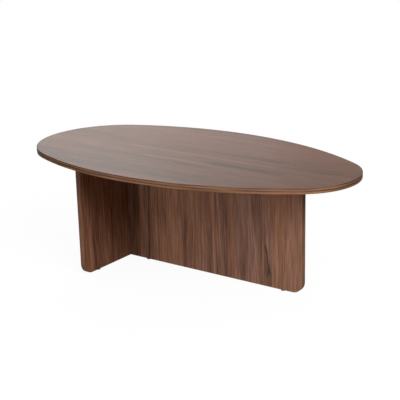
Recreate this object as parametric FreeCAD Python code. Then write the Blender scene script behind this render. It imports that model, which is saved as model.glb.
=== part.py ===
import FreeCAD, Part
import math
import os

# Coffee table: an egg-shaped veneered top on a T of two upright veneered panels.
# Millimetres. The floor is Z = 0 and the origin lies under the middle of the top.
# X runs along the table towards the narrow end, Y across it.

# Outline of the top: two end arcs and two side arcs, each tangent to the next
top_length = 1200.0
blunt_end_radius = 270.0
narrow_end_radius = 200.0
side_radius = 1000.0

# Make-up of the boards
core_thickness = 16.8
veneer_thickness = 0.6
edge_band_thickness = 1.0
arris_radius = 0.8

# Upright panels
panel_height = 384.0
blunt_end_overhang = 308.0
narrow_end_overhang = 174.0
cross_panel_length = 500.0
lower_corner_radius = 36.0

# Glides nailed under the panels
glide_diameter = 15.0
glide_height = 4.0
glide_edge_chamfer = 0.8
glide_end_inset = 75.0
nail_diameter = 2.2
nail_length = 16.0
nail_point_length = 3.0
nail_end_gap = 0.5
nail_head_diameter = 7.0
nail_head_thickness = 1.2
nail_head_cover = 1.4

# Beech dowels
dowel_diameter = 8.0
dowel_length = 30.0
dowel_face_depth = 11.0
dowel_chamfer = 1.0
dowel_end_gap = 1.0

# Cam bolts, screwed into the face of one board and reaching into the edge of the other
bolt_thread_diameter = 5.0
bolt_thread_length = 11.0
bolt_tip_chamfer = 1.0
bolt_end_gap = 0.5
bolt_collar_diameter = 7.4
bolt_collar_thickness = 1.5
bolt_shank_diameter = 6.0
bolt_neck_diameter = 4.0
bolt_head_diameter = 7.0
bolt_head_thickness = 2.5
bolt_head_chamfer = 0.5
bolt_channel_gap = 0.3

# Cams, each with an eccentric pocket that draws the bolt head in as it turns
cam_diameter = 15.0
cam_setback = 34.0
cam_side_gap = 0.1
cam_face_recess = 0.3
cam_floor = 1.2
cam_eccentricity = 0.6
cam_pocket_gap = 0.2
cam_head_seat = 2.5
driver_slot_length = 6.0
driver_slot_width = 1.4
driver_slot_depth = 2.2

# Caps pressed over the cams
cap_diameter = 18.0
cap_thickness = 1.2
cap_edge_chamfer = 0.5
cap_peg_diameter = 3.0
cap_peg_length = 2.4

# Places of the fittings along the joints
top_cam_end_inset = 100.0
joint_cam_end_inset = 80.0
cam_to_dowel_pitch = 32.0

# Levels and places that follow from the sizes above
board_thickness = core_thickness + 2 * veneer_thickness
half_board = board_thickness / 2
foot = glide_height
head = foot + panel_height
blunt_tip = -top_length / 2
narrow_tip = top_length / 2
cross_outer_face = blunt_tip + blunt_end_overhang
cross_middle = cross_outer_face + half_board
cross_inner_face = cross_outer_face + board_thickness
cross_end = cross_panel_length / 2
long_free_end = narrow_tip - narrow_end_overhang

ORIGIN = FreeCAD.Vector(0, 0, 0)
ALONG = FreeCAD.Vector(1, 0, 0)
ACROSS = FreeCAD.Vector(0, 1, 0)
UP = FreeCAD.Vector(0, 0, 1)


# Helpers for boards and turned pieces

def egg_outline(inset):
    """Egg-shaped face on the underside of the top, drawn in from the rim by inset."""
    blunt_centre = blunt_tip + blunt_end_radius
    narrow_centre = narrow_tip - narrow_end_radius
    span = narrow_centre - blunt_centre
    to_blunt = side_radius - blunt_end_radius
    to_narrow = side_radius - narrow_end_radius
    side_along = (to_blunt ** 2 - to_narrow ** 2 + span ** 2) / (2 * span)
    side_across = math.sqrt(to_blunt ** 2 - side_along ** 2)
    side_centre = blunt_centre + side_along
    reach = side_radius - inset

    def point(x, y):
        return FreeCAD.Vector(x, y, head)

    blunt_join_x = side_centre - reach * side_along / to_blunt
    blunt_join_y = reach * side_across / to_blunt - side_across
    narrow_join_x = side_centre + reach * (span - side_along) / to_narrow
    narrow_join_y = reach * side_across / to_narrow - side_across
    widest = reach - side_across
    blunt_left = point(blunt_join_x, blunt_join_y)
    blunt_right = point(blunt_join_x, -blunt_join_y)
    narrow_left = point(narrow_join_x, narrow_join_y)
    narrow_right = point(narrow_join_x, -narrow_join_y)
    arcs = [
        Part.Arc(blunt_left, point(blunt_tip + inset, 0), blunt_right),
        Part.Arc(blunt_right, point(side_centre, -widest), narrow_right),
        Part.Arc(narrow_right, point(narrow_tip - inset, 0), narrow_left),
        Part.Arc(narrow_left, point(side_centre, widest), blunt_left),
    ]
    return Part.Face(Part.Wire([arc.toShape() for arc in arcs]))


def upright_outline(point, start, end, low, start_radius, end_radius):
    """Upright face up to the underside of the top, its lower corners rounded, or square at radius 0.

    point turns a place along the panel and a height into a place in space.
    """
    edges = []

    def line(a, b):
        edges.append(Part.LineSegment(point(*a), point(*b)).toShape())

    def corner(a, middle, b):
        edges.append(Part.Arc(point(*a), point(*middle), point(*b)).toShape())

    sagitta = 1 - math.sqrt(0.5)
    line((start, head), (start, low + start_radius))
    if start_radius:
        start_middle = (start + sagitta * start_radius, low + sagitta * start_radius)
        corner((start, low + start_radius), start_middle, (start + start_radius, low))
    line((start + start_radius, low), (end - end_radius, low))
    if end_radius:
        end_middle = (end - sagitta * end_radius, low + sagitta * end_radius)
        corner((end - end_radius, low), end_middle, (end, low + end_radius))
    line((end, low + end_radius), (end, head))
    line((end, head), (start, head))
    return Part.Face(Part.Wire(edges))


def laminated_board(full_face, inner_face, normal, is_bare):
    """The pieces of one board: its core, the veneer on each side and the edge band.

    Both faces lie on the board's low side, and normal points through the board. is_bare tells
    which corners lie on an edge that has no band.
    """
    low_veneer = inner_face.extrude(normal * veneer_thickness)
    core_face = inner_face.translated(normal * veneer_thickness)
    core = core_face.extrude(normal * core_thickness)
    high_veneer = core_face.translated(normal * core_thickness).extrude(normal * veneer_thickness)

    block = full_face.extrude(normal * board_thickness)
    arrises = []
    for edge in block.Edges:
        ends = [vertex.Point for vertex in edge.Vertexes]
        lies_flat = abs((ends[0] - ends[-1]).dot(normal)) < veneer_thickness
        if lies_flat and not all(is_bare(end) for end in ends):
            arrises.append(edge)
    softened = block.makeFillet(min(arris_radius, edge_band_thickness), arrises)
    band = softened.cut(inner_face.extrude(normal * board_thickness))
    return {"core": core, "low": low_veneer, "high": high_veneer, "band": band}


def turned(profile):
    """Solid of revolution about Z from (radius, height) corners."""
    corners = [FreeCAD.Vector(radius, 0, height) for radius, height in profile]
    return Part.Face(Part.makePolygon(corners + corners[:1])).revolve(ORIGIN, UP, 360)


def placed(shape, point, x_axis, z_axis):
    """Copy of a shape made at the origin, moved to a point with its X and Z turned to these axes."""
    turn = FreeCAD.Rotation(x_axis, z_axis.cross(x_axis), z_axis, "ZXY")
    copy = shape.copy()
    copy.Placement = FreeCAD.Placement(point, turn)
    return copy


# Dowels and cam bolts: Z = 0 is where two boards meet, +Z goes into the face of the one
# and -Z into the edge of the other

dowel_edge_depth = dowel_length - dowel_face_depth
bolt_head_back = cam_head_seat - cam_setback
bolt_head_tip = bolt_head_back - bolt_head_thickness


def dowel():
    radius = dowel_diameter / 2
    return turned([
        (0, -dowel_edge_depth),
        (radius - dowel_chamfer, -dowel_edge_depth),
        (radius, dowel_chamfer - dowel_edge_depth),
        (radius, dowel_face_depth - dowel_chamfer),
        (radius - dowel_chamfer, dowel_face_depth),
        (0, dowel_face_depth),
    ])


def dowel_bore():
    start = UP * (-dowel_edge_depth - dowel_end_gap)
    return Part.makeCylinder(dowel_diameter / 2, dowel_length + 2 * dowel_end_gap, start, UP)


def cam_bolt():
    thread = bolt_thread_diameter / 2
    collar = bolt_collar_diameter / 2
    shank = bolt_shank_diameter / 2
    neck = bolt_neck_diameter / 2
    knob = bolt_head_diameter / 2
    neck_start = cam_diameter / 2 - cam_setback
    return turned([
        (0, bolt_thread_length),
        (thread - bolt_tip_chamfer, bolt_thread_length),
        (thread, bolt_thread_length - bolt_tip_chamfer),
        (thread, 0),
        (collar, 0),
        (collar, -bolt_collar_thickness),
        (shank, -bolt_collar_thickness),
        (shank, neck_start),
        (neck, neck_start),
        (neck, bolt_head_back),
        (knob, bolt_head_back),
        (knob, bolt_head_tip + bolt_head_chamfer),
        (knob - bolt_head_chamfer, bolt_head_tip),
        (0, bolt_head_tip),
    ])


def bolt_bore():
    """Pilot hole in the face of one board and channel to the cam in the edge of the other."""
    channel_radius = max(bolt_collar_diameter, bolt_shank_diameter) / 2 + bolt_channel_gap
    pilot = Part.makeCylinder(bolt_thread_diameter / 2, bolt_thread_length + bolt_end_gap, ORIGIN, UP)
    channel = Part.makeCylinder(channel_radius, cam_setback, ORIGIN, -UP)
    return pilot.fuse(channel)


# Cams and caps: Z = 0 is the middle of the board, +Z comes out of the face that the cam is let
# into, and +X points along the bolt to the other board

cam_radius = cam_diameter / 2
head_room_radius = bolt_head_diameter / 2 + cam_pocket_gap
pocket_height = 2 * head_room_radius
pocket_radius = math.hypot(head_room_radius, cam_head_seat + cam_eccentricity)
cam_bottom = -pocket_height / 2 - cam_floor
cam_face = half_board - cam_face_recess


def cam_bore():
    return Part.makeCylinder(cam_radius, half_board - cam_bottom, UP * cam_bottom, UP)


def cam():
    """Cam in its locked place: the pocket holds the bolt head and the slot lets the neck through.

    The mouth, on the far side, is where the head goes in before the cam is turned.
    """
    body = Part.makeCylinder(cam_radius - cam_side_gap, cam_face - cam_bottom, UP * cam_bottom, UP)
    pocket_start = FreeCAD.Vector(-cam_eccentricity, 0, -pocket_height / 2)
    pocket = Part.makeCylinder(pocket_radius, pocket_height, pocket_start, UP)
    slot_width = bolt_neck_diameter + 2 * cam_pocket_gap
    neck_room = math.degrees(math.asin(slot_width / 2 / (pocket_radius - cam_eccentricity)))
    slot = Part.makeCylinder(cam_diameter, slot_width, UP * (-slot_width / 2), UP, 180 + neck_room)
    slot.rotate(ORIGIN, UP, -neck_room)
    mouth = Part.makeCylinder(head_room_radius, cam_diameter, ORIGIN, -ALONG)
    hub = Part.makeCylinder(cap_peg_diameter / 2, cap_peg_length, UP * cam_face, -UP)
    cuts = [pocket, slot, mouth, hub]
    for length, width in ((driver_slot_length, driver_slot_width), (driver_slot_width, driver_slot_length)):
        corner = FreeCAD.Vector(-length / 2, -width / 2, cam_face - driver_slot_depth)
        cuts.append(Part.makeBox(length, width, driver_slot_depth, corner))
    return body.cut(cuts)


def cam_cap():
    rim = cap_diameter / 2
    peg = cap_peg_diameter / 2
    outside = half_board + cap_thickness
    return turned([
        (0, half_board - cap_peg_length),
        (peg, half_board - cap_peg_length),
        (peg, half_board),
        (rim, half_board),
        (rim, outside - cap_edge_chamfer),
        (rim - cap_edge_chamfer, outside),
        (0, outside),
    ])


def fittings(cam_points, dowel_points, into, out):
    """The fittings of one joint between boards, and the bores that they need.

    The points lie where the boards meet. into points into the face of the one board, and out
    points out of the face of the other board that its cams are let into.
    """
    cam_axes = [point - into * cam_setback for point in cam_points]
    bores = [placed(dowel_bore(), point, out, into) for point in dowel_points]
    bores += [placed(bolt_bore(), point, out, into) for point in cam_points]
    bores += [placed(cam_bore(), point, into, out) for point in cam_axes]
    pieces = {
        "dowels": [placed(dowel(), point, out, into) for point in dowel_points],
        "cam_bolts": [placed(cam_bolt(), point, out, into) for point in cam_points],
        "cams": [placed(cam(), point, into, out) for point in cam_axes],
        "cam_caps": [placed(cam_cap(), point, into, out) for point in cam_axes],
    }
    return pieces, bores


# Glides: Z = 0 is the floor

def glide_nail():
    radius = nail_diameter / 2
    cap_radius = nail_head_diameter / 2
    shoulder = nail_head_cover + nail_head_thickness
    tip = nail_head_cover + nail_length
    return turned([
        (0, nail_head_cover),
        (cap_radius, nail_head_cover),
        (cap_radius, shoulder),
        (radius, shoulder),
        (radius, tip - nail_point_length),
        (0, tip),
    ])


def nail_bore():
    depth = nail_head_cover + nail_length + nail_end_gap - foot
    return Part.makeCylinder(nail_diameter / 2, depth, UP * foot, UP)


def glide_pad():
    """Round plastic pad moulded about the head of its nail."""
    radius = glide_diameter / 2
    pad = turned([
        (0, 0),
        (radius - glide_edge_chamfer, 0),
        (radius, glide_edge_chamfer),
        (radius, glide_height),
        (0, glide_height),
    ])
    return pad.cut(glide_nail())


# Boards

def top_board():
    return laminated_board(egg_outline(0), egg_outline(edge_band_thickness), UP, lambda corner: False)


def cross_board():
    """Cross panel, banded over both ends and the foot."""
    def outline(inset):
        end = cross_end - inset
        radius = lower_corner_radius - inset
        return upright_outline(
            lambda along, height: FreeCAD.Vector(cross_outer_face, along, height),
            -end, end, foot + inset, radius, radius)

    def is_bare(corner):
        return math.isclose(corner.z, head)

    return laminated_board(outline(0), outline(edge_band_thickness), ALONG, is_bare)


def long_board():
    """Long panel, banded over the free end and the foot, square where it butts the cross panel."""
    def outline(inset):
        return upright_outline(
            lambda along, height: FreeCAD.Vector(along, -half_board, height),
            cross_inner_face, long_free_end - inset, foot + inset, 0, lower_corner_radius - inset)

    def is_bare(corner):
        return math.isclose(corner.z, head) or math.isclose(corner.x, cross_inner_face)

    return laminated_board(outline(0), outline(edge_band_thickness), ACROSS, is_bare)


# Places of the fittings

def cross_to_top():
    cam_across = cross_end - top_cam_end_inset
    dowel_across = cam_across + cam_to_dowel_pitch
    cam_points = [FreeCAD.Vector(cross_middle, side * cam_across, head) for side in (-1, 1)]
    dowel_points = [FreeCAD.Vector(cross_middle, side * dowel_across, head) for side in (-1, 1)]
    return fittings(cam_points, dowel_points, UP, ALONG)


def long_to_top():
    first = cross_inner_face + top_cam_end_inset
    last = long_free_end - top_cam_end_inset
    cam_points = [FreeCAD.Vector(along, 0, head) for along in (first, (first + last) / 2, last)]
    dowel_places = (first + cam_to_dowel_pitch, last - cam_to_dowel_pitch)
    dowel_points = [FreeCAD.Vector(along, 0, head) for along in dowel_places]
    return fittings(cam_points, dowel_points, UP, ACROSS)


def long_to_cross():
    low = foot + joint_cam_end_inset
    high = head - joint_cam_end_inset
    cam_points = [FreeCAD.Vector(cross_inner_face, 0, height) for height in (low, high)]
    dowel_heights = (low + cam_to_dowel_pitch, high - cam_to_dowel_pitch)
    dowel_points = [FreeCAD.Vector(cross_inner_face, 0, height) for height in dowel_heights]
    return fittings(cam_points, dowel_points, -ALONG, ACROSS)


glide_places = {
    "long_panel_glide_inner": FreeCAD.Vector(cross_inner_face + glide_end_inset, 0, 0),
    "long_panel_glide_outer": FreeCAD.Vector(long_free_end - glide_end_inset, 0, 0),
    "cross_panel_glide_front": FreeCAD.Vector(cross_middle, glide_end_inset - cross_end, 0),
    "cross_panel_glide_back": FreeCAD.Vector(cross_middle, cross_end - glide_end_inset, 0),
}


# The whole table

nodes = {}
bores = [nail_bore().translated(place) for place in glide_places.values()]
joints = {"cross_to_top": cross_to_top(), "long_to_top": long_to_top(), "long_to_cross": long_to_cross()}
for joint, (pieces, joint_bores) in joints.items():
    bores += joint_bores
    for kind, solids in pieces.items():
        nodes[joint + "_" + kind] = Part.makeCompound(solids)

boards = {
    "top": (top_board(), {"low": "backing_veneer", "high": "face_veneer"}),
    "cross_panel": (cross_board(), {"low": "outer_veneer", "high": "inner_veneer"}),
    "long_panel": (long_board(), {"low": "front_veneer", "high": "back_veneer"}),
}
for board, (layers, veneer_names) in boards.items():
    layer_names = {"core": "core", "band": "edge_band", **veneer_names}
    for layer, shape in layers.items():
        nodes[board + "_" + layer_names[layer]] = shape.cut(bores)

for glide, place in glide_places.items():
    nodes[glide] = glide_pad().translated(place)
nodes["glide_nails"] = Part.makeCompound([glide_nail().translated(place) for place in glide_places.values()])

os.makedirs("parts", exist_ok=True)
for name, shape in nodes.items():
    shape.exportStep("parts/" + name + ".step")
    print(name, len(shape.Solids), "solids,", round(shape.Volume / 1000, 2), "cm3")
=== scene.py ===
from collections import namedtuple
import math

import bmesh
import bpy
from mathutils import Matrix, Vector


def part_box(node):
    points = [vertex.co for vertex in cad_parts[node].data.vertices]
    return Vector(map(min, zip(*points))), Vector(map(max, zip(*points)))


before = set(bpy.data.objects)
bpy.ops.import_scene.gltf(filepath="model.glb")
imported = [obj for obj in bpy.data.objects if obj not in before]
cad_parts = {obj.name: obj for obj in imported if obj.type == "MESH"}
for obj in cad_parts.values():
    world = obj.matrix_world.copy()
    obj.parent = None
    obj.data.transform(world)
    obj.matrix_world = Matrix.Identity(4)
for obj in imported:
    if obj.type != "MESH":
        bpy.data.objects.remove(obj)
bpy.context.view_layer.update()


# Core boards of the top and of both panels
# Boards of pressed wood fibre, 16.8 mm thick, sawn to outline and drilled for their fittings.
# Veneers and edge bands hide them, and the fibre is bare only in the joints and the drilled holes.
mm = 0.001
fibre_colours = ((0.20, 0.135, 0.078, 1), (0.40, 0.29, 0.18, 1))
fibre_tones = (0.3, 0.7)
fibre_per_metre = 900
fibre_detail = 4
fibre_bump = (0.2 * mm, 0.5)
fibre_roughness = 0.85
plain_ior = 1.5


def new_finish(name):
    """Starts a material and hands back the material, its node tree and its shader."""
    finish = bpy.data.materials.new(name)
    finish.use_nodes = True
    return finish, finish.node_tree, finish.node_tree.nodes["Principled BSDF"]


def add_node(tree, kind, sockets, **options):
    """Adds one node, sets its options, then joins or fills the sockets that are named."""
    node = tree.nodes.new("ShaderNode" + kind)
    for option, choice in options.items():
        setattr(node, option, choice)
    for socket, value in sockets.items():
        if isinstance(value, bpy.types.NodeSocket):
            tree.links.new(value, node.inputs[socket])
        else:
            node.inputs[socket].default_value = value
    return node


def object_place(tree):
    """The place of the point on the part, in metres in the table's own frame."""
    return add_node(tree, "TexCoord", {}).outputs["Object"]


def cloudy(tree, place, detail, per_metre=1):
    """Soft random tone from 0 to 1."""
    return add_node(tree, "TexNoise", {"Vector": place, "Scale": per_metre, "Detail": detail}).outputs[0]


def colour_ramp(tree, tone, colours, low=0.0, high=1.0):
    """Turns a tone into colours that pass into each other, evenly spaced from a low tone to a high one."""
    ramp = add_node(tree, "ValToRGB", {"Fac": tone})
    stops = ramp.color_ramp.elements
    stops[0].position = low
    stops[1].position = high
    for stop in range(1, len(colours) - 1):
        stops.new(low + (high - low) * stop / (len(colours) - 1))
    for stop, colour in zip(stops, colours):
        stop.color = colour
    return ramp.outputs[0]


def raise_bump(tree, shader, height, depth, strength):
    """Lets a tone stand up from the surface by a depth in metres."""
    bump = add_node(tree, "Bump", {"Height": height, "Distance": depth, "Strength": strength})
    tree.links.new(bump.outputs[0], shader.inputs["Normal"])


def mottled(name, colours, tones, per_metre, detail, bump, roughness, ior=plain_ior):
    """A dull finish in two colours that pass into each other in small clouds, which also stand up a little.
    tones are the two ends of the passage, and bump holds how high the clouds stand and how strongly it
    shows."""
    finish, tree, shader = new_finish(name)
    clouds = cloudy(tree, object_place(tree), detail, per_metre)
    tree.links.new(colour_ramp(tree, clouds, colours, *tones), shader.inputs["Base Color"])
    raise_bump(tree, shader, clouds, *bump)
    shader.inputs["Roughness"].default_value = roughness
    shader.inputs["IOR"].default_value = ior
    return finish


def dress(finish, *names):
    """Puts a finish on every slot of the named parts."""
    for name in names:
        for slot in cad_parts[name].material_slots:
            slot.material = finish


fibreboard = mottled("fibreboard", fibre_colours, fibre_tones, fibre_per_metre, fibre_detail, fibre_bump,
                     fibre_roughness)
dress(fibreboard, "top_core", "cross_panel_core", "long_panel_core")


# Face veneers of the long panel
# Leaves of sliced walnut, 0.6 mm thick, glued to both sides of the board with the grain upright.
# They are sanded and sprayed with a matt clear lacquer that leaves the pores open.
brown_walnut = (
    (0.046, 0.025, 0.017, 1), (0.105, 0.056, 0.037, 1), (0.180, 0.087, 0.055, 1), (0.255, 0.123, 0.076, 1),
    (0.345, 0.177, 0.110, 1),
)
grey_walnut = (
    (0.040, 0.027, 0.019, 1), (0.090, 0.057, 0.042, 1), (0.160, 0.087, 0.064, 1), (0.237, 0.125, 0.094, 1),
    (0.325, 0.180, 0.134, 1),
)
pore_brown = (0.040, 0.019, 0.012, 1)
panel_figure = {"wide_bands": 0.6, "year_rings": 1.15, "fibre_streaks": 1.1, "grey_zones": 1.0}
long_front_tone = 0.67
long_back_tone = 0.58
panel_lacquer_ior = 1.12
lacquer_roughness = 0.5

# How often each mark of the grain comes in a metre along it and across it, and how finely it is broken up
sway_marks = (2.2, 6.0, 2)
ripple_marks = (13, 30, 2)
wide_band_marks = (1.2, 20, 3)
year_ring_marks = (7, 180, 3)
fibre_marks = (14, 600, 3)
grey_zone_marks = (1.7, 28, 2)
pore_marks = (90, 2300, 1)
noise_middle = 0.5
leaf_spacing = 7.3

# How far the grain wanders, where the middle of the log lay behind the leaf, and how far from it the
# greyer years grew
sway_reach = 4 * mm
ripple_reach = 1.2 * mm
heart_line = -1400 * mm
heart_depth = 350 * mm
heart_slope = 0.04
grey_years_radius = 1640 * mm
grey_years_half_width = 340 * mm
grey_from = 0.34
grey_full = 0.58

# Pores, which stay open under the lacquer as fine dark dashes
pore_from = 0.36
pore_full = 0.28
pore_share = 0.6
pore_roughness = 0.2
pore_depth = 0.25 * mm
fibre_height = 0.3
leaf_bump_strength = 0.25

# A darker or paler line on the leaf, drawn for veins of the grain and for bands of painted shade and
# light alike: its place across the leaf and half its width in mm, its change of tone, how far it leans,
# and where it starts and ends along the grain in mm
VeinOrShade = namedtuple("VeinOrShade", "place half_width change lean start end", defaults=(0.0, None, None))
vein_or_shade_fade = 3.0


def reckon(tree, sum_kind, first, second=0.0, third=0.0):
    """One line of arithmetic on the surface."""
    return add_node(tree, "Math", {0: first, 1: second, 2: third}, operation=sum_kind).outputs[0]


def soft_line(tree, width, line, half_width, change):
    """A change of tone that is full on a line and fades out to both sides of it."""
    off_line = reckon(tree, "ABSOLUTE", reckon(tree, "SUBTRACT", width, line))
    return add_node(tree, "MapRange", {"Value": off_line, "From Min": half_width, "From Max": 0.0,
                                       "To Max": change}, interpolation_type="SMOOTHSTEP").outputs[0]


def draw_vein_or_shade(tree, length, width, tone, vein_or_shade):
    """Lightens or darkens the tone along one line, which draws veins of the grain and bands of painted shade
    alike.
    """
    line = reckon(tree, "MULTIPLY_ADD", length, vein_or_shade.lean, vein_or_shade.place * mm)
    change = soft_line(tree, width, line, vein_or_shade.half_width * mm, vein_or_shade.change)
    fade = vein_or_shade_fade * vein_or_shade.half_width
    for limit, onward in ((vein_or_shade.start, fade), (vein_or_shade.end, -fade)):
        if limit is not None:
            reach = add_node(tree, "MapRange", {"Value": length, "From Min": (limit - onward) * mm,
                                                "From Max": (limit + onward) * mm},
                             interpolation_type="SMOOTHSTEP").outputs[0]
            change = reckon(tree, "MULTIPLY", change, reach)
    return reckon(tree, "ADD", tone, change)


def walnut_leaf(name, along, across, leaf, middle_tone, veins_and_shading=(), figure=panel_figure, palette=brown_walnut,
                lacquer_ior=panel_lacquer_ior, roughness=lacquer_roughness):
    """A leaf of walnut sliced from the log. along and across are the axes of its grain, leaf is its number
    in the stack, and figure holds how strongly each mark of the grain shows."""
    finish, tree, shader = new_finish(name)
    axes = add_node(tree, "SeparateXYZ", {"Vector": object_place(tree)}).outputs
    length = axes[along]
    width = axes[across]

    def grain(wide, marks):
        marks_along, marks_across, detail = marks
        flow = add_node(tree, "CombineXYZ", {"X": reckon(tree, "MULTIPLY", length, marks_along),
                                             "Y": reckon(tree, "MULTIPLY", wide, marks_across),
                                             "Z": leaf * leaf_spacing})
        return cloudy(tree, flow.outputs[0], detail)

    def wander(wide, marks, reach):
        sway = reckon(tree, "SUBTRACT", grain(width, marks), noise_middle)
        return reckon(tree, "MULTIPLY_ADD", sway, reach / noise_middle, wide)

    swayed = wander(wander(width, sway_marks, sway_reach), ripple_marks, ripple_reach)
    off_heart = reckon(tree, "SUBTRACT", swayed, heart_line)
    depth = reckon(tree, "MULTIPLY_ADD", length, heart_slope, heart_depth)
    squares = reckon(tree, "MULTIPLY_ADD", depth, depth, reckon(tree, "MULTIPLY", off_heart, off_heart))
    radius = reckon(tree, "SQRT", squares)

    fibres = grain(swayed, fibre_marks)
    layers = (
        (grain(radius, wide_band_marks), figure["wide_bands"]),
        (grain(radius, year_ring_marks), figure["year_rings"]),
        (fibres, figure["fibre_streaks"]),
    )
    tone = middle_tone - noise_middle * sum(weight for layer, weight in layers)
    for layer, weight in layers:
        tone = reckon(tree, "MULTIPLY_ADD", layer, weight, tone)
    for vein_or_shade in veins_and_shading:
        tone = draw_vein_or_shade(tree, length, swayed, tone, vein_or_shade)
    grey_years = soft_line(tree, radius, grey_years_radius, grey_years_half_width, figure["grey_zones"])
    grey_zones = add_node(tree, "MapRange", {"Value": grain(swayed, grey_zone_marks), "From Min": grey_from,
                                             "From Max": grey_full}).outputs[0]
    greyness = reckon(tree, "MULTIPLY", grey_zones, grey_years)
    wood = add_node(tree, "Mix", {"Factor": greyness, "A": colour_ramp(tree, tone, palette),
                                  "B": colour_ramp(tree, tone, grey_walnut)}, data_type="RGBA")

    pores = add_node(tree, "MapRange", {"Value": grain(swayed, pore_marks), "From Min": pore_from,
                                        "From Max": pore_full}).outputs[0]
    pored = add_node(tree, "Mix", {"Factor": reckon(tree, "MULTIPLY", pores, pore_share),
                                   "A": wood.outputs["Result"], "B": pore_brown}, data_type="RGBA")
    tree.links.new(pored.outputs["Result"], shader.inputs["Base Color"])
    rough = reckon(tree, "MULTIPLY_ADD", pores, pore_roughness, roughness)
    tree.links.new(rough, shader.inputs["Roughness"])
    height = reckon(tree, "MULTIPLY_ADD", fibres, fibre_height, reckon(tree, "SUBTRACT", 1.0, pores))
    raise_bump(tree, shader, height, pore_depth, leaf_bump_strength)
    shader.inputs["IOR"].default_value = lacquer_ior
    return finish


# Broad darker and paler bands of the leaf, some of them painted shade and light: the dark bands at -240 and
# -185 mm darken the corner by the cross panel, the dark bands at 0, 148, 198 and 300 mm that end 110 to 150
# mm up darken the foot of the panel, and the pale band at 400 mm that starts 220 mm up lightens the panel
# just under the top.
long_panel_bands_and_painted_shading = (
    VeinOrShade(-185, 70, -0.20), VeinOrShade(-60, 110, 0.10), VeinOrShade(396, 130, 0.10), VeinOrShade(-240, 60, -0.14),
    VeinOrShade(-95, 40, 0.12, end=230), VeinOrShade(0, 30, -0.12, end=110), VeinOrShade(100, 30, 0.08, start=150),
    VeinOrShade(148, 36, -0.16, end=120), VeinOrShade(198, 34, -0.20, end=150), VeinOrShade(300, 60, -0.13, end=110),
    VeinOrShade(310, 90, 0.09, start=190), VeinOrShade(335, 26, 0.09, start=120, end=300),
    VeinOrShade(103, 40, 0.17, start=110, end=260), VeinOrShade(30, 60, 0.06, start=110, end=220),
    VeinOrShade(400, 40, 0.12, start=220),
)
long_panel_streaks = (
    VeinOrShade(-192, 4.5, -0.42, lean=0.044), VeinOrShade(-157, 16, 0.14, lean=0.02), VeinOrShade(-153, 6, 0.14, end=210),
    VeinOrShade(-145, 3, -0.38, lean=0.008), VeinOrShade(-52, 6, 0.16, end=170), VeinOrShade(-33, 14, -0.30, lean=0.01, end=190),
    VeinOrShade(-8, 7, 0.14, start=160), VeinOrShade(32, 3, 0.16, start=150), VeinOrShade(43, 9, 0.14, end=130),
    VeinOrShade(70, 10, -0.28, end=150), VeinOrShade(78, 3, -0.25), VeinOrShade(87, 5, 0.46), VeinOrShade(97, 4, -0.30),
    VeinOrShade(139, 17, -0.09, lean=-0.02), VeinOrShade(144, 4, -0.28, lean=-0.02, start=50, end=260),
    VeinOrShade(130, 4, -0.20, lean=-0.05, start=60), VeinOrShade(242, 3, 0.26, lean=-0.094, end=250),
    VeinOrShade(254, 3, 0.22, lean=-0.106), VeinOrShade(264, 4, 0.34, lean=-0.116), VeinOrShade(281, 14, -0.12, lean=-0.05),
    VeinOrShade(302, 16, -0.16, lean=-0.06, end=110), VeinOrShade(331, 4, 0.14), VeinOrShade(357, 5, 0.12),
)
long_panel_split = (
    VeinOrShade(323, 4, -0.80, lean=-0.24, start=112, end=140), VeinOrShade(309, 4, -0.70, lean=-0.116, start=66, end=112),
    VeinOrShade(324, 4, -0.60, lean=-0.333, start=46, end=66), VeinOrShade(292, 4, -0.60, lean=0.135, start=38, end=62),
)
long_front = walnut_leaf("walnut_long_panel_front", along="Z", across="X", leaf=1,
                         middle_tone=long_front_tone,
                         veins_and_shading=long_panel_bands_and_painted_shading + long_panel_streaks + long_panel_split)
dress(long_front, "long_panel_front_veneer")
long_back = walnut_leaf("walnut_long_panel_back", along="Z", across="X", leaf=2, middle_tone=long_back_tone)
dress(long_back, "long_panel_back_veneer")


# Face veneers of the cross panel
# The same sliced walnut, glued upright to both sides of the board and lacquered alike. The inner leaf is
# redder and darker, partly its own heartwood and partly painted shade for the shade this face stands
# in, and it has a dark vein near its middle.
# Palette of the inner leaf: its deeper red and lower blue are partly painted shade.
red_walnut_with_painted_shade = (
    (0.046, 0.018, 0.009, 1), (0.098, 0.042, 0.023, 1), (0.165, 0.070, 0.039, 1), (0.235, 0.106, 0.062, 1),
    (0.320, 0.155, 0.094, 1),
)
cross_inner_figure = {**panel_figure, "grey_zones": 0.3}
cross_inner_tone = 0.53
cross_outer_tone = 0.54
cross_inner_veins = (
    VeinOrShade(-186, 26, -0.20, end=200), VeinOrShade(-225, 22, -0.10, end=180), VeinOrShade(-148, 22, -0.10, end=120),
    VeinOrShade(-35, 26, 0.08, end=200), VeinOrShade(-174, 16, -0.14, start=60, end=180), VeinOrShade(-232, 18, 0.12, end=60),
    VeinOrShade(-243, 6, -0.20, start=50, end=160), VeinOrShade(-214, 13, 0.16, lean=-0.02, end=240),
    VeinOrShade(-189, 7, -0.22, lean=-0.10, end=230), VeinOrShade(-168, 14, -0.20, start=190, end=250),
    VeinOrShade(-127, 6, 0.14, start=110, end=260), VeinOrShade(-104, 5, -0.40, lean=0.01, end=200),
    VeinOrShade(-96, 18, -0.10, lean=0.01, start=150), VeinOrShade(-88, 9, 0.12, end=200),
)
cross_inner = walnut_leaf("walnut_cross_panel_inner", along="Z", across="Y", leaf=3,
                          middle_tone=cross_inner_tone, veins_and_shading=cross_inner_veins, figure=cross_inner_figure,
                          palette=red_walnut_with_painted_shade)
dress(cross_inner, "cross_panel_inner_veneer")
cross_outer = walnut_leaf("walnut_cross_panel_outer", along="Z", across="Y", leaf=4,
                          middle_tone=cross_outer_tone)
dress(cross_outer, "cross_panel_outer_veneer")


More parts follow.
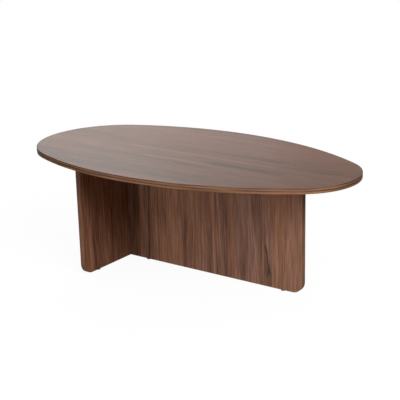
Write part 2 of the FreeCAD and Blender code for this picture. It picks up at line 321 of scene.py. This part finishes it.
# Edge bands of the two panels
# Strips of walnut, 1 mm thick, ironed on along the ends and the foot and bent round the lower corners.
# The grain follows the strip, and its sharp edges are eased with fine paper.
# The long panel's band has a lower tone than the cross panel's, which is painted shade on the long panel's
# end.
long_band_tone_with_painted_shade = 0.35
cross_band_tone = 0.42
strip_streak_marks = (5, 150, 3)
strip_streak_weight = 1.1
strip_fibre_marks = (14, 900, 2)
strip_fibre_weight = 0.9
line_breaks_per_metre = 9
line_breaks_detail = 1
strip_smoothness = 0.1
strip_fibre_roughness = 0.2
strip_bump_strength = 0.2


def walnut_strip(name, across, middle_tone, palette=brown_walnut, lacquer_ior=panel_lacquer_ior, lines=(),
                 zones=()):
    """An edge band whose grain runs along the strip. lines are darker or paler threads along the strip and
    zones are darker or paler stretches, each with its place across the strip or along X and its half
    width in mm, and its change of tone."""
    finish, tree, shader = new_finish(name)
    place = object_place(tree)
    axes = add_node(tree, "SeparateXYZ", {"Vector": place}).outputs

    def grain(marks):
        marks_along, marks_across, detail = marks
        per_metre = [marks_across if axis == across else marks_along for axis in "XYZ"]
        drawn_out = add_node(tree, "Mapping", {"Vector": place, "Scale": per_metre}).outputs[0]
        return cloudy(tree, drawn_out, detail)

    fibres = grain(strip_fibre_marks)
    tone = middle_tone - noise_middle * (strip_streak_weight + strip_fibre_weight)
    tone = reckon(tree, "MULTIPLY_ADD", grain(strip_streak_marks), strip_streak_weight, tone)
    tone = reckon(tree, "MULTIPLY_ADD", fibres, strip_fibre_weight, tone)
    breaks = cloudy(tree, place, line_breaks_detail, line_breaks_per_metre)
    for line, half_width, change in lines:
        thread = soft_line(tree, axes[across], line * mm, half_width * mm, change / noise_middle)
        tone = reckon(tree, "MULTIPLY_ADD", thread, breaks, tone)
    for zone, half_width, change in zones:
        tone = reckon(tree, "ADD", tone, soft_line(tree, axes["X"], zone * mm, half_width * mm, change))
    tree.links.new(colour_ramp(tree, tone, palette), shader.inputs["Base Color"])
    smoothest = lacquer_roughness - strip_smoothness
    rough = reckon(tree, "MULTIPLY_ADD", fibres, strip_fibre_roughness, smoothest)
    tree.links.new(rough, shader.inputs["Roughness"])
    raise_bump(tree, shader, fibres, pore_depth, strip_bump_strength)
    shader.inputs["IOR"].default_value = lacquer_ior
    return finish


long_band = walnut_strip("walnut_long_panel_band", across="Y", middle_tone=long_band_tone_with_painted_shade)
dress(long_band, "long_panel_edge_band")
cross_band = walnut_strip("walnut_cross_panel_band", across="X", middle_tone=cross_band_tone)
dress(cross_band, "cross_panel_edge_band")


# Glides and the nails that hold them
# Round pads of black plastic that lift the panels off the floor. Each is moulded about the head of a
# zinc-plated steel nail, which is driven into the foot of its panel.
glide_colours = ((0.005, 0.005, 0.005, 1), (0.016, 0.016, 0.015, 1))
glide_tones = (0.4, 0.8)
glide_grain_per_metre = 2500
glide_grain_detail = 2
moulded_bump = (0.1 * mm, 0.4)
glide_roughness = 0.6
glide_ior = 1.25
black_plastic = mottled("black_plastic", glide_colours, glide_tones, glide_grain_per_metre,
                        glide_grain_detail, moulded_bump, glide_roughness, glide_ior)
dress(black_plastic, "long_panel_glide_inner", "long_panel_glide_outer", "cross_panel_glide_front",
      "cross_panel_glide_back")

zinc_plate_colours = ((0.50, 0.51, 0.52, 1), (0.70, 0.71, 0.72, 1))
zinc_plate_clouds_per_metre = 400
zinc_plate_roughness = (0.22, 0.42)
metal_tones = (0.3, 0.7)
metal_detail = 4
metal_bump = (0.05 * mm, 0.3)


def bright_metal(name, colours, clouds_per_metre, roughness):
    """Bare or plated metal with cloudy tone and roughness."""
    finish, tree, shader = new_finish(name)
    clouds = cloudy(tree, object_place(tree), metal_detail, clouds_per_metre)
    tree.links.new(colour_ramp(tree, clouds, colours, *metal_tones), shader.inputs["Base Color"])
    smooth, rough = roughness
    tree.links.new(reckon(tree, "MULTIPLY_ADD", clouds, rough - smooth, smooth), shader.inputs["Roughness"])
    raise_bump(tree, shader, clouds, *metal_bump)
    shader.inputs["Metallic"].default_value = 1.0
    return finish


zinc_plated_steel = bright_metal("zinc_plated_steel", zinc_plate_colours, zinc_plate_clouds_per_metre,
                                 zinc_plate_roughness)
dress(zinc_plated_steel, "glide_nails")


# Dowels of the three joints
# Turned beech pegs with chamfered ends, pushed into drilled holes in both boards.
# They line up the boards before the cams pull them tight.
beech_colours = ((0.43, 0.27, 0.15, 1), (0.62, 0.44, 0.27, 1))
beech_tones = (0.35, 0.65)
beech_flecks_per_metre = 700
beech_detail = 3
beech_bump = (0.1 * mm, 0.3)
beech_roughness = 0.7
beech = mottled("beech", beech_colours, beech_tones, beech_flecks_per_metre, beech_detail, beech_bump,
                beech_roughness)
dress(beech, "cross_to_top_dowels", "long_to_top_dowels", "long_to_cross_dowels")


# Cam bolts and cams of the three joints
# Bolts of the same zinc-plated steel are screwed into the face of one board. Cams of cast zinc sit in
# holes in the other board, and a turn of the screwdriver makes each one draw in the head of its bolt.
cast_zinc_colours = ((0.34, 0.34, 0.35, 1), (0.52, 0.52, 0.53, 1))
cast_zinc_clouds_per_metre = 700
cast_zinc_roughness = (0.40, 0.65)
dress(zinc_plated_steel, "cross_to_top_cam_bolts", "long_to_top_cam_bolts", "long_to_cross_cam_bolts")
cast_zinc = bright_metal("die_cast_zinc", cast_zinc_colours, cast_zinc_clouds_per_metre, cast_zinc_roughness)
dress(cast_zinc, "cross_to_top_cams", "long_to_top_cams", "long_to_cross_cams")


# Caps over the cams
# Thin discs of moulded plastic, in a brown that matches the walnut.
# They are pressed into the mouths of the cam holes and hide the cams.
cap_colours = ((0.070, 0.036, 0.023, 1), (0.105, 0.056, 0.036, 1))
cap_tones = (0.35, 0.65)
cap_grain_per_metre = 1800
cap_grain_detail = 3
cap_roughness = 0.5
brown_plastic = mottled("brown_plastic", cap_colours, cap_tones, cap_grain_per_metre, cap_grain_detail,
                        moulded_bump, cap_roughness)
dress(brown_plastic, "cross_to_top_cam_caps", "long_to_top_cam_caps", "long_to_cross_cam_caps")


# Face and backing veneers of the top
# Walnut leaves laid lengthwise on both sides of the egg-shaped board, the upper one under a glossier
# lacquer. It is quiet at the blunt end and has soft dark streaks towards the narrow end.
top_figure = {"wide_bands": 0.4, "year_rings": 0.4, "fibre_streaks": 0.62, "grey_zones": 0.45}
top_face_tone = 0.39
top_backing_tone = 0.45
top_lacquer_ior = 1.33
top_lacquer_roughness = 0.40
# The broad bands at 210 mm and at -35 mm lighten the back and the blunt end of the top, and the one at -240
# mm darkens its front: painted sheen of the lacquer. The narrower lines are its grain.
top_veins_and_painted_sheen = (
    VeinOrShade(210, 170, 0.08), VeinOrShade(210, 170, 0.10, end=100), VeinOrShade(-35, 100, 0.20, end=-150),
    VeinOrShade(-240, 130, -0.12), VeinOrShade(-120, 60, -0.14, start=350), VeinOrShade(57, 26, -0.11, start=-100, end=330),
    VeinOrShade(14, 12, -0.15, start=300), VeinOrShade(-4, 11, 0.22, lean=-0.03, start=-250, end=330),
    VeinOrShade(-66, 30, -0.27, start=120, end=370), VeinOrShade(-84, 12, 0.20, start=-130, end=130),
    VeinOrShade(-118, 13, -0.16, start=0, end=130), VeinOrShade(-160, 14, 0.08, start=-100, end=60),
)
top_face = walnut_leaf("walnut_top_face", along="X", across="Y", leaf=5, middle_tone=top_face_tone,
                       veins_and_shading=top_veins_and_painted_sheen, figure=top_figure, lacquer_ior=top_lacquer_ior,
                       roughness=top_lacquer_roughness)
dress(top_face, "top_face_veneer")
top_backing = walnut_leaf("walnut_top_backing", along="X", across="Y", leaf=6, middle_tone=top_backing_tone)
dress(top_backing, "top_backing_veneer")


# Edge band of the top
# One long walnut strip, 1 mm thick, glued round the rim with its sharp edges eased by sanding.
# Its grain shows as dark and pale lines along the rim. Painted shade makes it darker at both ends of the
# table, and painted light makes stretches between them paler.
tan_walnut = (
    (0.050, 0.026, 0.015, 1), (0.110, 0.060, 0.036, 1), (0.188, 0.097, 0.057, 1), (0.265, 0.137, 0.078, 1),
    (0.355, 0.193, 0.112, 1),
)
rim_tone = 0.48
rim_lacquer_ior = 1.05
rim_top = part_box("top_edge_band")[1].z / mm
# The dark lines at the top and the bottom edge of the rim are partly grain and partly painted shade on its
# eased edges; the lines between them are its grain.
rim_lines_and_painted_shade = (
    (rim_top - 1.2, 2.0, -0.20), (rim_top - 5.0, 2.0, 0.20), (rim_top - 9.4, 2.4, -0.28),
    (rim_top - 14.0, 2.2, 0.24), (rim_top - 17.8, 1.2, -0.10),
)
# Darker stretches at the blunt end, at 460 mm and at the narrow tip, and paler ones at 330 and 550 mm:
# painted shade and light along the rim.
rim_painted_light_and_shade = ((-430, 260, -0.17), (330, 110, 0.08), (460, 60, -0.06), (550, 28, 0.12), (604, 30, -0.25))
rim_band = walnut_strip("walnut_rim_band", across="Z", middle_tone=rim_tone, palette=tan_walnut,
                        lacquer_ior=rim_lacquer_ior, lines=rim_lines_and_painted_shade, zones=rim_painted_light_and_shade)
dress(rim_band, "top_edge_band")


# Floor of the studio
# A plain white sheet that keeps the soft shadow under the table. The camera and the gloss of the finishes
# see it white, and only a weak warm light comes back from it.
floor_half_width = 40
floor_bounce = (0.42, 0.36, 0.31, 1)
floor_seen = (1, 1, 1, 1)
shadow_reach = 0.7
white_from = 1.5
white_share_at_table = 0.94
white_strength = 1.0

shape = bmesh.new()
bmesh.ops.create_grid(shape, x_segments=1, y_segments=1, size=floor_half_width)
floor_mesh = bpy.data.meshes.new("floor")
shape.to_mesh(floor_mesh)
shape.free()
floor = bpy.data.objects.new("floor", floor_mesh)
bpy.context.scene.collection.objects.link(floor)

floor_paint = bpy.data.materials.new("floor_paint")
floor_paint.use_nodes = True
tree = floor_paint.node_tree
tree.nodes.clear()
rays = add_node(tree, "LightPath", {}).outputs
seen = reckon(tree, "ADD", rays["Is Camera Ray"], rays["Is Glossy Ray"])
seen = reckon(tree, "MINIMUM", reckon(tree, "ADD", seen, rays["Is Transmission Ray"]), 1.0)
paint = add_node(tree, "Mix", {"Factor": seen, "A": floor_bounce, "B": floor_seen}, data_type="RGBA")
matt = add_node(tree, "BsdfDiffuse", {"Color": paint.outputs["Result"]})
white = add_node(tree, "Emission", {"Strength": white_strength})
away = add_node(tree, "VectorMath", {0: object_place(tree)}, operation="LENGTH").outputs["Value"]
whiteness = add_node(tree, "MapRange", {"Value": away, "From Min": shadow_reach, "From Max": white_from,
                                        "To Min": white_share_at_table}, interpolation_type="SMOOTHSTEP")
share = reckon(tree, "MULTIPLY", seen, whiteness.outputs[0])
blend = add_node(tree, "MixShader", {0: share, 1: matt.outputs[0], 2: white.outputs[0]})
add_node(tree, "OutputMaterial", {"Surface": blend.outputs[0]})
floor.data.materials.append(floor_paint)


# Backdrop of the studio
# A low wall, painted as the floor is, that runs round it far off. It closes the view behind the table,
# and the lacquer of the top shows it as a pale sheen.
backdrop_radius = 38
backdrop_height = 9.2
backdrop_sides = 96

shape = bmesh.new()
bmesh.ops.create_cone(shape, cap_ends=False, segments=backdrop_sides, radius1=backdrop_radius,
                      radius2=backdrop_radius, depth=backdrop_height,
                      matrix=Matrix.Translation((0, 0, backdrop_height / 2)))
bmesh.ops.reverse_faces(shape, faces=shape.faces)
backdrop_mesh = bpy.data.meshes.new("backdrop")
shape.to_mesh(backdrop_mesh)
shape.free()
backdrop = bpy.data.objects.new("backdrop", backdrop_mesh)
bpy.context.scene.collection.objects.link(backdrop)
backdrop.data.materials.append(floor_paint)


# Lamps of the studio
# A tall narrow lamp in front throws the cross panel's shadow, and a large soft box stands to the right.
# A strip, a soft box and two fills light the far sides, and the fills stay out of the gloss.
lamp_target = Vector((0, 0, 0.25))
sky_colour = (1, 0.95, 0.90, 1)
sky_strength = 0.2


def studio_lamp(name, turn, rise, distance, width, height, brightness, mirrored=True):
    """An area lamp aimed at the table. A matt white card facing it would render at the brightness given,
    and glossy finishes show it only if it is mirrored."""
    light = bpy.data.lights.new(name, "AREA")
    light.shape = "RECTANGLE"
    light.size = width
    light.size_y = height
    light.energy = brightness * (math.pi * distance) ** 2
    lamp = bpy.data.objects.new(name, light)
    bpy.context.scene.collection.objects.link(lamp)
    level = math.cos(math.radians(rise))
    way = Vector((level * math.cos(math.radians(turn)), level * math.sin(math.radians(turn)),
                  math.sin(math.radians(rise))))
    lamp.location = lamp_target + distance * way
    lamp.rotation_euler = way.to_track_quat("Z", "Y").to_euler()
    lamp.visible_camera = False
    lamp.visible_glossy = mirrored


studio_lamp("front_lamp", turn=-104.3, rise=12, distance=4.3, width=0.2, height=0.9, brightness=0.235)
studio_lamp("right_soft_box", turn=-28, rise=35, distance=4.0, width=2.0, height=1.6, brightness=0.97)
studio_lamp("rear_strip", turn=133, rise=8, distance=4.5, width=2.6, height=0.6, brightness=0.055)
studio_lamp("rear_soft_box", turn=145, rise=38, distance=4.5, width=2.0, height=1.6, brightness=0.30)
for fill_name, fill_turn in (("left_fill", 183), ("far_fill", 78)):
    studio_lamp(fill_name, turn=fill_turn, rise=10, distance=4.5, width=1.6, height=1.0, brightness=0.35,
                mirrored=False)

sky = bpy.data.worlds.new("studio")
bpy.context.scene.world = sky
sky.use_nodes = True
sky.node_tree.nodes["Background"].inputs["Color"].default_value = sky_colour
sky.node_tree.nodes["Background"].inputs["Strength"].default_value = sky_strength


# Camera
# It stands in front of the narrow end at about chest height, with a long lens, and leans slightly.
# The lens is worked out from its focal length in pixels of a square picture.
camera_place = Vector((1.9344, -2.6173, 1.2383))
camera_turn_left = math.radians(36.06)
camera_look_down = math.radians(16.95)
camera_lean = math.radians(-1.40)
focal_pixels = 1019.3
picture_pixels = 400
sensor_width = 36

camera = bpy.data.objects.new("camera", bpy.data.cameras.new("camera"))
bpy.context.scene.collection.objects.link(camera)
camera.data.sensor_width = sensor_width
camera.data.lens = focal_pixels * sensor_width / picture_pixels
camera.matrix_world = (Matrix.Translation(camera_place) @ Matrix.Rotation(camera_turn_left, 4, "Z")
                       @ Matrix.Rotation(math.pi / 2 - camera_look_down, 4, "X")
                       @ Matrix.Rotation(camera_lean, 4, "Z"))
bpy.context.scene.camera = camera
bpy.context.scene.view_settings.view_transform = "Standard"
